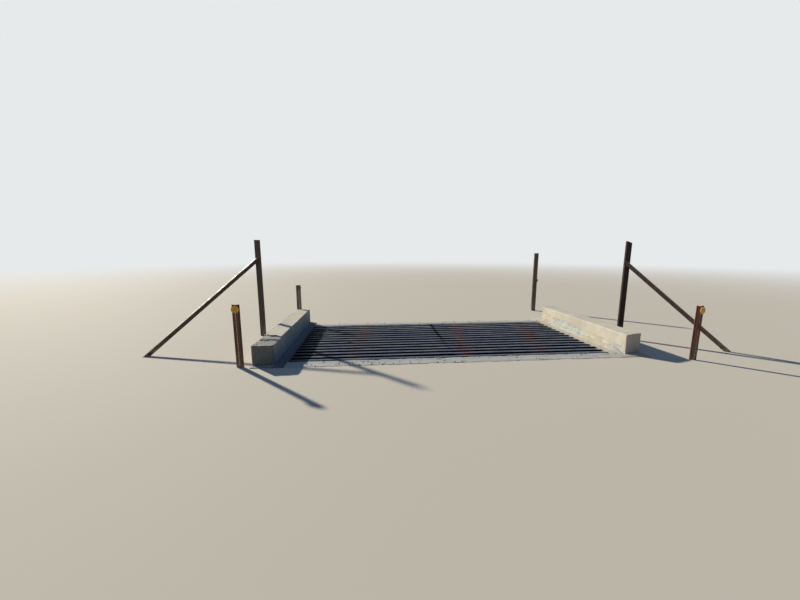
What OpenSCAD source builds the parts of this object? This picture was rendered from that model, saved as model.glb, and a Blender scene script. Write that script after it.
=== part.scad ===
// Cattle grid across an unpaved road, with its concrete vault, curbs, wing posts and edge markers
// Units are millimetres. Z is up, and Z = 0 is the floor of the pit, where the walls stand.
// X runs across the road and Y along it. The near side, with the braces' feet, is -Y.

/* [Deck bars] */
// Length of one deck panel's bars, across the road
panel_w = 2440; // [1200:10:3600]
// Gap between the two deck panels
panel_gap = 12; // [4:1:40]
// Number of bars in each panel
bar_count = 15; // [6:1:24]
// Outside size of a bar's square tube
bar_size = 76; // [50:1:100]
// Wall thickness of a bar's tube
bar_wall = 6; // [3:0.5:10]
// Clear gap between two bars
bar_clear = 71; // [50:1:120]

/* [Stringers] */
// Depth of a stringer beam
beam_h = 152; // [100:1:250]
// Width of a stringer's flanges
beam_flange_w = 102; // [70:1:160]
// Thickness of a stringer's flanges
beam_flange_t = 8; // [5:0.5:14]
// Thickness of a stringer's web
beam_web = 6; // [4:0.5:12]
// Distance from a panel's end to the middle of its outer stringers
beam_inset = 180; // [100:5:400]
// Height of the tie plates between stringers
tie_h = 100; // [50:1:110]
// Thickness of the tie plates
tie_t = 10; // [6:1:20]
// Distance from a stringer's end to the tie plates
tie_inset = 260; // [200:5:500]

/* [Concrete vault] */
// Depth of the pit below the tops of the bars
pit_depth = 450; // [350:5:900]
// Gap between the deck and the concrete around it, along the road
deck_gap = 24; // [5:1:60]
// Gap between the bars' ends and the side walls
end_gap = 20; // [5:1:60]
// Thickness of an abutment above the ledge that carries the stringers
backwall_t = 215; // [120:5:400]
// Width of the ledge that carries the stringers
ledge_w = 150; // [80:5:300]

/* [Curbs] */
// Distance from the bars' ends to the left curb
left_curb_setback = 165; // [60:5:400]
// Distance from the bars' ends to the right curb
right_curb_setback = 190; // [60:5:400]
// Distance from the vault's near end to the left curb's near end
left_curb_short = 115; // [0:5:300]
// Distance from the vault's near end to the right curb's near end
right_curb_short = 130; // [0:5:300]
// How far the left curb and its wall run on past the vault's far end
left_curb_past = 120; // [0:5:400]
// How much further back the right curb's near end lies at its outer side
right_curb_skew = 90; // [0:5:200]
// Width of a curb
curb_w = 310; // [150:5:500]
// Height of a curb above the bars
curb_h = 300; // [100:5:500]
// Worn corner along a curb's upper edges
curb_bevel = 18; // [5:1:40]
// Length of the left curb's broken top, from its near end, at its outer side
spall_len = 560; // [200:10:1200]
// How much shorter the broken top is at the curb's inner side
spall_skew = 150; // [0:10:180]
// Depth of the left curb's broken top
spall_depth = 26; // [10:1:60]

/* [Wing posts and braces] */
// Width of a wing post's channel section
post_w = 95; // [60:1:150]
// Depth of a wing post's channel section
post_d = 40; // [30:1:80]
// Thickness of a wing post's steel
post_t = 6; // [4:0.5:12]
// Height of the left wing post above the bars
left_post_h = 1765; // [1500:5:2400]
// Height of the right wing post above the bars
right_post_h = 1740; // [1400:5:2400]
// Distance from the left curb to the middle of the left wing post
left_post_off = 380; // [200:10:900]
// Place of the left wing post along the road, from the deck's middle
left_post_y = 450; // [-800:10:1200]
// Distance from the right curb to the middle of the right wing post
right_post_off = 300; // [200:10:900]
// Place of the right wing post along the road, from the deck's middle
right_post_y = -300; // [-800:10:1200]
// Leg of a brace's angle section
brace_leg = 60; // [40:1:90]
// Thickness of a brace's steel
brace_t = 6; // [4:0.5:12]
// Distance across the road from the left wing post to its brace's foot on the pit floor's level
left_brace_run = 1830; // [1200:10:2600]
// Distance across the road from the right wing post to its brace's foot on the pit floor's level
right_brace_run = 1520; // [1200:10:2600]
// Angle between a brace and the line across the road, seen from above
brace_turn = 38; // [25:1:50]
// Height above the bars at which the left brace meets its post
left_brace_h = 1430; // [900:10:1600]
// Height above the bars at which the right brace meets its post
right_brace_h = 1340; // [900:10:1600]

/* [Edge markers] */
// Width of a marker's flanged channel
marker_w = 100; // [60:1:120]
// Depth of a marker's flanged channel
marker_d = 28; // [20:1:60]
// Width of the flat web in the middle of a marker's channel
marker_web = 38; // [20:1:50]
// Width of the flat lip on each side of a marker's channel
marker_lip = 26; // [8:1:34]
// Thickness of a marker's steel
marker_t = 5; // [3:0.5:8]
// Height of the near left marker above the bars
near_left_h = 870; // [500:10:1400]
// Height of the near right marker above the bars
near_right_h = 800; // [500:10:1400]
// Height of the far left marker above the bars
far_left_h = 825; // [500:5:1400]
// Distance from the left curb to the middle of the near left marker
near_left_off = 140; // [80:5:600]
// Place of the near left marker along the road, from the curb's near end
near_left_along = -50; // [-600:5:600]
// Distance from the right curb to the middle of the near right marker
near_right_off = 495; // [80:5:1200]
// Place of the near right marker along the road, from the curb's near end
near_right_along = -315; // [-600:5:600]
// Distance from the left curb's outer face to the middle of the far left marker
far_left_off = -70; // [-200:5:600]
// Distance from the left curb's far end to the middle of the far left marker
far_left_along = 75; // [60:5:900]
// Turn of the near right marker away from the road, below 0 towards it
near_right_turn = -9; // [-30:1:30]
// Diameter of a reflector
reflector_d = 102; // [60:1:140]
// Thickness of a reflector
reflector_t = 8; // [4:0.5:14]
// Width of a reflector's raised rim
reflector_rim = 6; // [3:0.5:12]
// Height of a reflector's raised rim
reflector_rim_h = 2; // [1:0.5:4]
// Distance from a marker's top to its reflector's upper edge
reflector_drop = 12; // [2:1:60]
// How far the near right reflector stands out from its marker on its bolt
bent_out = 20; // [8:1:40]
// How far the near right reflector is bent away from the road on its bolt
bent_turn = 23; // [0:1:30]
// Diameter of the bolt that holds the near right reflector
bolt_d = 10; // [6:1:14]

/* [Far right post] */
// Width of the far right post's channel section
end_post_w = 105; // [50:1:120]
// Depth of the far right post's channel section
end_post_d = 42; // [25:1:80]
// Thickness of the far right post's steel
end_post_t = 6; // [4:0.5:12]
// Height of the far right post above the bars
end_post_h = 1500; // [900:10:2000]
// Distance from the right curb's outer face to the middle of the far right post
end_post_off = 55; // [-200:5:900]
// Distance from the right curb's far end to the middle of the far right post
end_post_along = 1095; // [100:5:1600]
// Height above the bars of the clip on the far right post
clip_h = 760; // [300:10:1200]
// Height of the clip
clip_len = 70; // [30:1:120]
// How far the clip stands out beside the post
clip_out = 24; // [10:1:60]
// Thickness of the clip
clip_t = 8; // [4:0.5:14]

/* [Hidden] */
$fn = 48;
cut = 1;
stringers = 4;

road_z = pit_depth;
deck_len = bar_count * bar_size + (bar_count - 1) * bar_clear;
bar_pitch = bar_size + bar_clear;
deck_half_w = panel_gap / 2 + panel_w;
beam_top = road_z - bar_size;
seat_z = beam_top - beam_h;
beam_pitch = (panel_w - 2 * beam_inset) / (stringers - 1);

wall_in = deck_half_w + end_gap;
left_curb_in = deck_half_w + left_curb_setback;
right_curb_in = deck_half_w + right_curb_setback;
left_curb_out = left_curb_in + curb_w;
right_curb_out = right_curb_in + curb_w;
backwall_y = deck_len / 2 + deck_gap;
vault_half = backwall_y + backwall_t;

left_curb_near = left_curb_short - vault_half;
right_curb_near = right_curb_short - vault_half;
left_curb_far = vault_half + left_curb_past;

left_post_x = -(left_curb_out + left_post_off);
right_post_x = right_curb_out + right_post_off;
left_post_face = left_post_y - post_d / 2;
right_post_face = right_post_y - post_d / 2;
left_foot_x = left_post_x - left_brace_run;
right_foot_x = right_post_x + right_brace_run;
left_foot_y = left_post_face - left_brace_run * tan(brace_turn);
right_foot_y = right_post_face - right_brace_run * tan(brace_turn);

near_left_x = -(left_curb_out + near_left_off);
near_left_y = left_curb_near + near_left_along;
near_right_x = right_curb_out + near_right_off;
near_right_y = right_curb_near + near_right_along;
far_left_x = -(left_curb_out + far_left_off);
far_left_y = left_curb_far + far_left_along;
end_post_x = right_curb_out + end_post_off;
end_post_y = vault_half + end_post_along;

// The plan's middle, between the outer corners of the braces' feet and
// between the plan's nearest and farthest points along the road
foot_side_x = brace_leg / 2 * sin(brace_turn);
foot_side_y = brace_leg / 2 * cos(brace_turn);
marker_front = marker_d / 2 + reflector_t;
bent_face = near_right_turn + bent_turn;
near_right_front = (marker_d / 2 + bent_out) * cos(near_right_turn) + reflector_t * cos(bent_face)
    + reflector_d / 2 * abs(sin(bent_face));
plan_left = left_foot_x - foot_side_x;
plan_right = right_foot_x + foot_side_x;
plan_near = min(
    min(left_foot_y, right_foot_y) - foot_side_y,
    near_left_y - marker_front,
    near_right_y - near_right_front,
    -vault_half
);
plan_far = max(end_post_y + end_post_d / 2, far_left_y + marker_front);
plan_mid_x = (plan_left + plan_right) / 2;
plan_mid_y = (plan_near + plan_far) / 2;

concrete = [0.74, 0.70, 0.60];
deck_steel = [0.27, 0.28, 0.32];
beam_steel = [0.24, 0.20, 0.19];
post_rust = [0.25, 0.17, 0.14];
marker_rust = [0.42, 0.20, 0.13];
amber = [0.90, 0.66, 0.08];

// Moves the deck's centre so that the whole plan is centred on the origin
module placed() translate([-plan_mid_x, -plan_mid_y, 0]) children();

// Concrete vault

// An abutment on the +Y side: a wall with a ledge for the stringers
module abutment() {
    rotate([90, 0, 90])
        linear_extrude(2 * wall_in, center = true)
            polygon([
                [backwall_y - ledge_w, 0],
                [vault_half, 0],
                [vault_half, road_z],
                [backwall_y, road_z],
                [backwall_y, seat_z],
                [backwall_y - ledge_w, seat_z]
            ]);
}

module back_abutment() color(concrete) placed() abutment();

module front_abutment() color(concrete) placed() mirror([0, 1, 0]) abutment();

// A side wall on the +X side, under its curb
module side_wall(outer, far) {
    translate([wall_in, -vault_half, 0]) cube([outer - wall_in, vault_half + far, road_z]);
}

module right_side_wall() color(concrete) placed() side_wall(right_curb_out, vault_half);

module left_side_wall() color(concrete) placed() mirror([1, 0, 0]) side_wall(left_curb_out, left_curb_far);

// A curb on the +X side, with worn upper edges
module curb(inner, near, far) {
    translate([inner, far, road_z])
        rotate([90, 0, 0])
            linear_extrude(far - near)
                polygon([
                    [0, 0],
                    [curb_w, 0],
                    [curb_w, curb_h - curb_bevel],
                    [curb_w - curb_bevel, curb_h],
                    [curb_bevel, curb_h],
                    [0, curb_h - curb_bevel]
                ]);
}

// A block over a curb's near end, whose far side runs from inner_y to outer_y across the curb
module end_block(inner, near, inner_y, outer_y, low_z) {
    slope = (outer_y - inner_y) / curb_w;
    translate([inner, near, low_z])
        linear_extrude(road_z + curb_h + cut - low_z)
            polygon([
                [-cut, -2 * cut - slope * cut],
                [curb_w + cut, -2 * cut - slope * cut],
                [curb_w + cut, outer_y + slope * cut],
                [-cut, inner_y - slope * cut]
            ]);
}

// The right curb's near end is not square to the curb: it is cut off the curb, right up to its inner corner
module right_curb() {
    color(concrete) placed()
        difference() {
            curb(right_curb_in, right_curb_near - cut, vault_half);
            end_block(right_curb_in, right_curb_near, 0, right_curb_skew, road_z - cut);
        }
}

// The left curb's near end has lost the top of its concrete
module left_curb() {
    color(concrete) placed() mirror([1, 0, 0])
        difference() {
            curb(left_curb_in, left_curb_near, left_curb_far);
            end_block(
                left_curb_in, left_curb_near,
                spall_len - spall_skew, spall_len, road_z + curb_h - spall_depth
            );
        }
}

// Deck panels

// One bar: a square tube with open ends, lying across the road
module bar() {
    difference() {
        translate([0, -bar_size / 2, 0]) cube([panel_w, bar_size, bar_size]);
        translate([-cut, -bar_size / 2 + bar_wall, bar_wall])
            cube([panel_w + 2 * cut, bar_size - 2 * bar_wall, bar_size - 2 * bar_wall]);
    }
}

// All the bars of the +X panel
module panel_bars() {
    for (i = [0 : bar_count - 1])
        translate([panel_gap / 2, (i - (bar_count - 1) / 2) * bar_pitch, beam_top]) bar();
}

module right_panel_bars() color(deck_steel) placed() panel_bars();

module left_panel_bars() color(deck_steel) placed() mirror([1, 0, 0]) panel_bars();

// Middle of a stringer, counted outwards from the centre line
function beam_x(i) = panel_gap / 2 + beam_inset + (i - 1) * beam_pitch;

// One stringer: an I beam along the road, under the bars
module stringer(i) {
    translate([beam_x(i), 0, seat_z])
        rotate([90, 0, 0])
            linear_extrude(deck_len, center = true)
                union() {
                    translate([-beam_flange_w / 2, 0]) square([beam_flange_w, beam_flange_t]);
                    translate([-beam_web / 2, 0]) square([beam_web, beam_h]);
                    translate([-beam_flange_w / 2, beam_h - beam_flange_t])
                        square([beam_flange_w, beam_flange_t]);
                }
}

module right_stringer(i) color(beam_steel) placed() stringer(i);

module left_stringer(i) color(beam_steel) placed() mirror([1, 0, 0]) stringer(i);

// Upright plates that tie the stringers of the +X panel to each other
module panel_ties() {
    for (i = [1 : stringers - 1], side = [-1, 1])
        translate([
            beam_x(i) + beam_web / 2,
            side * (deck_len / 2 - tie_inset) - tie_t / 2,
            seat_z + (beam_h - tie_h) / 2
        ])
            cube([beam_pitch - beam_web, tie_t, tie_h]);
}

module right_panel_ties() color(beam_steel) placed() panel_ties();

module left_panel_ties() color(beam_steel) placed() mirror([1, 0, 0]) panel_ties();

// Wing posts and braces

// A channel section standing upright, its web facing -Y
module channel(w, d, t, h) {
    linear_extrude(h)
        difference() {
            translate([-w / 2, -d / 2]) square([w, d]);
            translate([-w / 2 + t, -d / 2 + t]) square([w - 2 * t, d]);
        }
}

module left_post() {
    color(post_rust) placed()
        translate([left_post_x, left_post_y, 0]) channel(post_w, post_d, post_t, road_z + left_post_h);
}

module right_post() {
    color(post_rust) placed()
        translate([right_post_x, right_post_y, 0]) channel(post_w, post_d, post_t, road_z + right_post_h);
}

// The angle section of a brace along X, with its heel at the top of its near side
module brace_section(length) {
    rotate([90, 0, 90])
        linear_extrude(length, center = true)
            translate([brace_leg / 2, 0])
                polygon([
                    [0, 0],
                    [-brace_leg, 0],
                    [-brace_leg, -brace_t],
                    [-brace_t, -brace_t],
                    [-brace_t, -brace_leg],
                    [0, -brace_leg]
                ]);
}

// A brace on the +X side: an angle that is cut off level at its foot and upright at its post's face
module brace(foot_x, foot_y, face_y, run, top_z) {
    length = norm([run, face_y - foot_y, top_z]);
    slope = asin(top_z / length);
    difference() {
        translate([foot_x, foot_y, 0])
            rotate([0, -slope, 180 - brace_turn])
                brace_section(4 * length);
        translate([foot_x - 4 * length, face_y, -4 * length]) cube(8 * length);
        translate([foot_x - 4 * length, foot_y - 4 * length, -8 * length]) cube(8 * length);
    }
}

module right_brace() {
    color(post_rust) placed()
        brace(right_foot_x, right_foot_y, right_post_face, right_brace_run, road_z + right_brace_h);
}

module left_brace() {
    color(post_rust) placed() mirror([1, 0, 0])
        brace(-left_foot_x, left_foot_y, left_post_face, left_brace_run, road_z + left_brace_h);
}

// Edge markers

// One side of a marker's outer face and one of its inner face: web, sloping side and lip
marker_outer = [
    [marker_web / 2, 0],
    [marker_w / 2 - marker_lip, marker_d - marker_t],
    [marker_w / 2, marker_d - marker_t]
];
marker_inner = [
    [marker_w / 2, marker_d],
    [marker_w / 2 - marker_lip - marker_t / 2, marker_d],
    [marker_web / 2 - marker_t / 2, marker_t]
];
marker_right = concat(marker_outer, marker_inner);
marker_left = [for (i = [len(marker_right) - 1 : -1 : 0]) [-marker_right[i][0], marker_right[i][1]]];

// A marker's flanged channel standing upright, its web facing -Y
module marker_channel(h) {
    translate([0, -marker_d / 2, 0])
        linear_extrude(road_z + h)
            polygon(concat(marker_right, marker_left));
}

// A round reflector with a raised rim, its back on z = 0
module reflector_disc() {
    difference() {
        cylinder(d = reflector_d, h = reflector_t);
        translate([0, 0, reflector_t - reflector_rim_h])
            cylinder(d = reflector_d - 2 * reflector_rim, h = reflector_rim_h + cut);
    }
}

// Stands the piece at the height of a marker's reflector, z = 0 on the front of the marker's web
module on_web(h) {
    translate([0, -marker_d / 2, road_z + h - reflector_drop - reflector_d / 2])
        rotate([90, 0, 0]) children();
}

// A reflector flat on its marker's web
module reflector(h) on_web(h) reflector_disc();

// A reflector that stands out on its bolt and is bent to one side
module bent_reflector(h) {
    on_web(h) {
        cylinder(d = bolt_d, h = bent_out + (reflector_t - reflector_rim_h) / 2);
        translate([0, 0, bent_out]) rotate([0, bent_turn, 0]) reflector_disc();
    }
}

// Stands a marker piece at its place, turned about the upright axis
module marker_at(x, y, turn) placed() translate([x, y, 0]) rotate([0, 0, turn]) children();

module near_left() marker_at(near_left_x, near_left_y, 0) children();

module near_right() marker_at(near_right_x, near_right_y, near_right_turn) children();

module far_left() marker_at(far_left_x, far_left_y, 180) children();

module near_left_marker_post() color(marker_rust) near_left() marker_channel(near_left_h);

module near_left_reflector() color(amber) near_left() reflector(near_left_h);

module near_right_marker_post() color(marker_rust) near_right() marker_channel(near_right_h);

module near_right_reflector() color(amber) near_right() bent_reflector(near_right_h);

module far_left_marker_post() color(marker_rust) far_left() marker_channel(far_left_h);

module far_left_reflector() color(amber) far_left() reflector(far_left_h);

// Far right post

module far_right_post() {
    color(post_rust) placed()
        translate([end_post_x, end_post_y, 0])
            channel(end_post_w, end_post_d, end_post_t, road_z + end_post_h);
}

// A small flat clip welded to the outer side of the far right post
module far_right_clip() {
    color(post_rust) placed()
        translate([
            end_post_x + end_post_w / 2,
            end_post_y - clip_t / 2,
            road_z + clip_h
        ])
            cube([clip_out, clip_t, clip_len]);
}

front_abutment();
back_abutment();
left_side_wall();
right_side_wall();
left_curb();
right_curb();
left_panel_bars();
right_panel_bars();
left_stringer(1);  // left_stringer_1
left_stringer(2);  // left_stringer_2
left_stringer(3);  // left_stringer_3
left_stringer(4);  // left_stringer_4
right_stringer(1);  // right_stringer_1
right_stringer(2);  // right_stringer_2
right_stringer(3);  // right_stringer_3
right_stringer(4);  // right_stringer_4
left_panel_ties();
right_panel_ties();
left_post();
right_post();
left_brace();
right_brace();
near_left_marker_post();
near_left_reflector();
near_right_marker_post();
near_right_reflector();
far_left_marker_post();
far_left_reflector();
far_right_post();
far_right_clip();
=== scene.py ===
"""Looks of a cattle grid: worn steel deck bars over a concrete vault, chipped curbs, rusty posts and markers.

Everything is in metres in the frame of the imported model. Sizes and places come from its nodes' boxes.
"""

import itertools
import math

import bmesh
import bpy
import numpy as np
from mathutils import Matrix, Vector
from mathutils.bvhtree import BVHTree


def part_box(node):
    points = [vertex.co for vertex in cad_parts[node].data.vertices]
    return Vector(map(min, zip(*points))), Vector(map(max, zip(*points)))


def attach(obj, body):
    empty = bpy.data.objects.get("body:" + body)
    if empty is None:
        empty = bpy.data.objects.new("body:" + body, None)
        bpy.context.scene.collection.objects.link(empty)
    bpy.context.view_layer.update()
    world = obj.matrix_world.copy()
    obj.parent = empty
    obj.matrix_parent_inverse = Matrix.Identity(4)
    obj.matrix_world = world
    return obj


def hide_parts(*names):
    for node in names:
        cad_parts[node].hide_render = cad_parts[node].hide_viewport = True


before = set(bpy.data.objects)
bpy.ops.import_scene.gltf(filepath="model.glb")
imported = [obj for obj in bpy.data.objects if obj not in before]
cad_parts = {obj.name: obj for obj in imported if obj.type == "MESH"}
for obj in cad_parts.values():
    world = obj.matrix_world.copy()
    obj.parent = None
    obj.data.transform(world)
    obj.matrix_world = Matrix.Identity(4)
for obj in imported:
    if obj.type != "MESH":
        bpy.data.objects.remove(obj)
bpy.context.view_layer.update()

LEFT, RIGHT = "left", "right"
FRONT, BACK = "front", "back"


def corners(*nodes):
    """Lowest and highest corner of one node, or of several together."""
    boxes = [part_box(n) for n in nodes]
    return np.min([b[0] for b in boxes], axis=0), np.max([b[1] for b in boxes], axis=0)


deck_low, deck_high = corners("left_panel_bars", "right_panel_bars")
deck_x, deck_y = (deck_low[:2] + deck_high[:2]) / 2
road_z = deck_high[2]
vault_low, vault_high = corners("left_side_wall")[0], corners("right_side_wall")[1]

# The near left marker stands square to the frame, so its box is as wide and deep as every marker
marker_low, marker_high = corners("near_left_marker_post")
marker_width, marker_depth = (marker_high - marker_low)[:2]

# Deck bars. Each panel reaches a little towards the other at the near edge of the seam.
BAR_COUNT = 15
BAR_WALL = 0.006
BAR_CORNER = 0.008
BAR_STATION = 0.05
BAR_BOW = 0.0025
SEAM_CLOSING = 0.004
STRINGERS = 4

# Weld beads. Each starts inside a bar's side and stays away from a stringer's edges and ends.
WELD_SIZE = 0.006
WELD_STATION = 0.005
WELD_INSET = 0.001
WELD_MARGIN = 0.01
WELD_TRIM = 0.006
WELD_TRIM_SPREAD = 0.012

# Rusty wheel tracks: place from the deck's middle at its near and far edge, width, and strength at both edges
TRACKS = (
    (-1.52, -1.40, 0.100, 0.2, 1.0),
    (0.20, 0.47, 0.095, 1.0, 0.8),
    (1.50, 1.84, 0.095, 0.7, 0.9),
)
TRACK_WANDER = 0.18
# Bars have a dark stain, painted shadow at their left ends where the left curb's shadow falls, a dark band at
# the seam, and are dusty at their right ends
STAIN_X, STAIN_Y, STAIN_SIZE = deck_x - 1.645, deck_y - 0.19, 0.06
PAINTED_SHADOW_END = 0.32
DUSTY_END = 0.085
SEAM_DARK = (0.016, 0.045)

# Spacing of the points on the curbs, on the walls, and on the ledge that shows
CURB_GRID = 0.0085
WALL_GRID = 0.018
LEDGE_GRID = 0.011

# Curbs: radius of a sound edge, and what chips add to it, also at the near end and its inner corner
CURB_EDGE = 0.008
CURB_CHIP = 0.028
END_CHIP = 0.010
END_CORNER = 0.022
END_LENGTH = 0.12

# The left curb's broken near end ends in a step. Rows of points gather at it, so that its face is upright.
SPALL_LENGTH = 0.560
SPALL_SKEW = 0.150
SPALL_DEPTH = 0.022
SPALL_BASE = 0.10
STEP_HALF = 0.009
STEP_GATHER = 0.026
# Its worn outer edge: mean width and depth, and the width of its slope
WORN_WIDTH = 0.030
WORN_DEPTH = 0.016
WORN_SLOPE = 0.012

# The right curb's rough foot: mean height, rise towards the far end, setback, and its stones
FOOT_HEIGHT = 0.140
FOOT_RISE = 0.045
FOOT_SETBACK = 0.010
FOOT_STONE = 0.026
FOOT_STONE_RISE = 0.011
# Its crumbled far end and its skewed near end
CRUMBLE_LENGTH = 0.16
CRUMBLE_DEPTH = 0.016
RIGHT_END_SKEW = 0.090
RIGHT_SKEW_LENGTH = 0.5

# Lime along the right curb, from the deck's middle outwards: where it starts, is full, fades and ends
LIME_FAR = (-0.35, -0.05, 0.80, 1.05)
LIME_NEAR = (0.72, 0.90, 1.15, 1.25)

# Side walls: height of the dirt heaped on each ledge, and of its pebbles
HEAP = {LEFT: 0.014, RIGHT: 0.040}
PEBBLE = 0.024
PEBBLE_RISE = 0.008

# Abutments: gap beside the deck, and width and depth of the chips along their top edges
DECK_GAP = 0.024
CHIP_WIDTH = 0.03
CHIP_DEPTH = 0.014
DUST_BAND = 0.16
STRIP_DUST = {FRONT: 1, BACK: 2}

# Loose stones on ledges and strips: how many, smallest and largest, and how far below the road they may lie
LEDGE_STONES = {LEFT: 40, RIGHT: 110}
LEDGE_STONE_SIZES = (0.006, 0.024)
STRIP_STONES = {FRONT: 320, BACK: 160}
STRIP_STONE_SIZES = (0.005, 0.030)
STONE_DROP = 0.03
# How far they stay from the edges: across and along a ledge, and along the road on a strip
LEDGE_MARGIN = (0.015, 0.02)
STRIP_MARGIN = 0.01

# Folded sheet: points on an arc, sides of a hole, and spacing of the rows
FOLD_STEPS = 3
HOLE_SIDES = 12
SHEET_ROW = 0.06

# Wing posts and end post
POST_SHEET = 0.006
POST_FOLD = 0.009
POST_SWAY = 0.003
# The right post's flange has holes, which start this far above the deck and end this far below the top
POST_HOLE = 0.010
POST_HOLE_PITCH = 0.05
POST_HOLES_ABOVE = 0.10
POST_HOLES_BELOW = 0.06
POST_SLANT = 0.045

# Braces: an angle, rolled and turned about its length, cut where it meets its post and the ground
BRACE_ROLL = {LEFT: 6, RIGHT: 9}
BRACE_TURN = 38
BRACE_LEG = 0.060
BRACE_SHEET = 0.006
BRACE_FILLET = 0.006
BRACE_TOE = 0.003
BRACE_HEEL = 0.003
BRACE_SWAY = 0.004
BRACE_STATIONS = 40
BRACE_PAST = 0.12
BRACE_LAP = 0.0005

# Markers
MARKER_SHEET = 0.005
MARKER_FOLD = 0.006
MARKER_WEB = 0.038
MARKER_LIP = 0.026
MARKER_HOLE = 0.0095
MARKER_HOLE_PITCH = 0.0254
MARKER_HOLES_ABOVE = 0.035
MARKER_HOLES_BELOW = 0.012
# Each marker's turn about its axis, and how far its reflector is bent to one side and stands out from the web
MARKERS = {"near_left": (0.0, 0.0, 0.0), "near_right": (-9.0, 23.0, 0.020), "far_left": (180.0, 0.0, 0.0)}

# Reflectors: a lens as parts of its radius and thickness, and a rivet and a bolt in metres
REFLECTOR_THICK = 0.008
LENS_OUTLINE = (
    (0.0, 0.0), (0.98, 0.0), (1.0, 0.12), (1.0, 0.85), (0.975, 1.0), (0.91, 1.0), (0.885, 0.80),
    (0.80, 0.72), (0.79, 0.80), (0.62, 0.74), (0.61, 0.82), (0.42, 0.76), (0.41, 0.84), (0.23, 0.80),
    (0.20, 0.90), (0.0, 0.90),
)
LENS_SIDES = 72
MERGE_WITHIN = 1e-6
RIVET_OUTLINE = ((0.0055, 0.0), (0.004, 0.002), (0.0, 0.002))
RIVET_BASE = 0.9 * REFLECTOR_THICK
RIVET_SIDES = 12
BOLT_RADIUS = 0.005
BOLT_HEAD = 0.010
BOLT_HEAD_FROM, BOLT_HEAD_TO = -0.006, 0.002
BOLT_SIDES = 24


# Number patterns

# Large odd factors that scramble the numbers of a cell
SCRAMBLE = np.array([374761393, 668265263, 974634777])
SEED_SCRAMBLE = 1274126177
LAST_SCRAMBLE = 1103515245


def lattice(cell, seed):
    """A repeatable random number from -1 to 1 for each whole-number cell."""
    h = cell @ SCRAMBLE + seed * SEED_SCRAMBLE
    h = (h ^ ((h >> 13) & 0x7FFFF)) * LAST_SCRAMBLE & 0xFFFFFFFF
    return ((h ^ (h >> 16)) & 0xFFFF) / 32767.5 - 1


def noise(points, size, seed):
    """Smooth noise from -1 to 1 whose bumps are about size across."""
    q = np.asarray(points, float) / size
    cell = np.floor(q).astype(np.int64)
    part = q - cell
    part = part * part * (3 - 2 * part)
    total = 0
    for step in itertools.product((0, 1), repeat=3):
        weight = np.prod(np.where(step, part, 1 - part), axis=-1)
        total = total + weight * lattice(cell + step, seed)
    return total


def rough(points, size, seed, octaves=4):
    """Noise at several sizes, each half as large and half as strong as the one before."""
    layers = [noise(points, size / 2 ** k, seed + k) / 2 ** k for k in range(octaves)]
    return sum(layers) / (2 - 2 ** (1 - octaves))


def pebbled(points, size, seed):
    """Distance to the nearest of many scattered points, in parts of size: 0 at a stone's top, 1 between."""
    q = np.asarray(points, float) / size
    cell = np.floor(q).astype(np.int64)
    best = np.full(len(q), 9.0)
    for step in itertools.product((-1, 0, 1), repeat=3):
        near = cell + step
        spot = near + 0.5 + 0.45 * np.stack([lattice(near, seed + k) for k in range(3)], axis=-1)
        best = np.minimum(best, np.linalg.norm(q - spot, axis=-1))
    return np.clip(best, 0, 1)


def smooth(value, low, high):
    """0 below low, 1 above high and a smooth step between."""
    t = np.clip((value - low) / (high - low), 0, 1)
    return t * t * (3 - 2 * t)


# Meshes

def add(name, data):
    """A new object in the scene."""
    thing = bpy.data.objects.new(name, data)
    bpy.context.scene.collection.objects.link(thing)
    return thing


def make(name, points, faces, material, slot, replaced=(), shade=None):
    """A piece of the object from points and faces, riding on the one body."""
    mesh = bpy.data.meshes.new(name)
    mesh.from_pydata(np.asarray(points, float).tolist(), [], faces)
    mesh.validate()
    if shade is None:
        mesh.shade_smooth()
    else:
        mesh.set_sharp_from_angle(angle=math.radians(shade))
    mesh.materials.append(material)
    piece = add(name, mesh)
    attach(piece, "root")
    if replaced:
        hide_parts(*replaced)
    return piece


def mark(piece, **numbers):
    """Keeps numbers for each point, which the material reads by name. One that isn't given reads as 0."""
    for name, values in numbers.items():
        attribute = piece.data.attributes.new(name, "FLOAT", "POINT")
        attribute.data.foreach_set("value", np.asarray(values, np.float32))


def block_surface(low, high, grid):
    """Points and quads of a box's surface on an even grid, with shared edges."""
    count = np.maximum(2, np.round((high - low) / grid)).astype(int)
    corner = ((0, 0), (0, 1), (1, 1), (1, 0))
    quads = []
    for a in range(3):
        b, c = (a + 1) % 3, (a + 2) % 3
        u, v = np.meshgrid(np.arange(count[b]), np.arange(count[c]), indexing="ij")
        for side, turn in ((0, corner), (count[a], [step[::-1] for step in corner])):
            quad = np.zeros(u.shape + (4, 3), np.int64)
            quad[..., a] = side
            for k, (du, dv) in enumerate(turn):
                quad[..., k, b] = u + du
                quad[..., k, c] = v + dv
            quads.append(quad.reshape(-1, 4, 3))
    cells = np.concatenate(quads)
    keys = (cells[..., 0] * (count[1] + 1) + cells[..., 1]) * (count[2] + 1) + cells[..., 2]
    _, first, where = np.unique(keys.ravel(), return_index=True, return_inverse=True)
    points = low + cells.reshape(-1, 3)[first] / count * (high - low)
    return points, where.reshape(-1, 4).tolist()


def rounded(points, low, high, radius):
    """Rounds a block's edges by a radius for each point, and gives outward directions."""
    reach = np.minimum(radius, (high - low).min() / 2 * 0.98)[:, None]
    core = np.clip(points, low + reach, high - reach)
    away = points - core
    away = away / np.linalg.norm(away, axis=1)[:, None]
    return core + away * reach, away


def tube_ring(size, corner, steps=4):
    """Closed outline of a rounded square, centred."""
    ring = []
    for k, towards in enumerate(((1, 1), (-1, 1), (-1, -1), (1, -1))):
        centre = np.array(towards) * (size / 2 - corner)
        for angle in np.linspace(k * 90, k * 90 + 90, steps + 1):
            a = math.radians(angle)
            ring.append(centre + corner * np.array([math.cos(a), math.sin(a)]))
    return np.array(ring)


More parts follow.
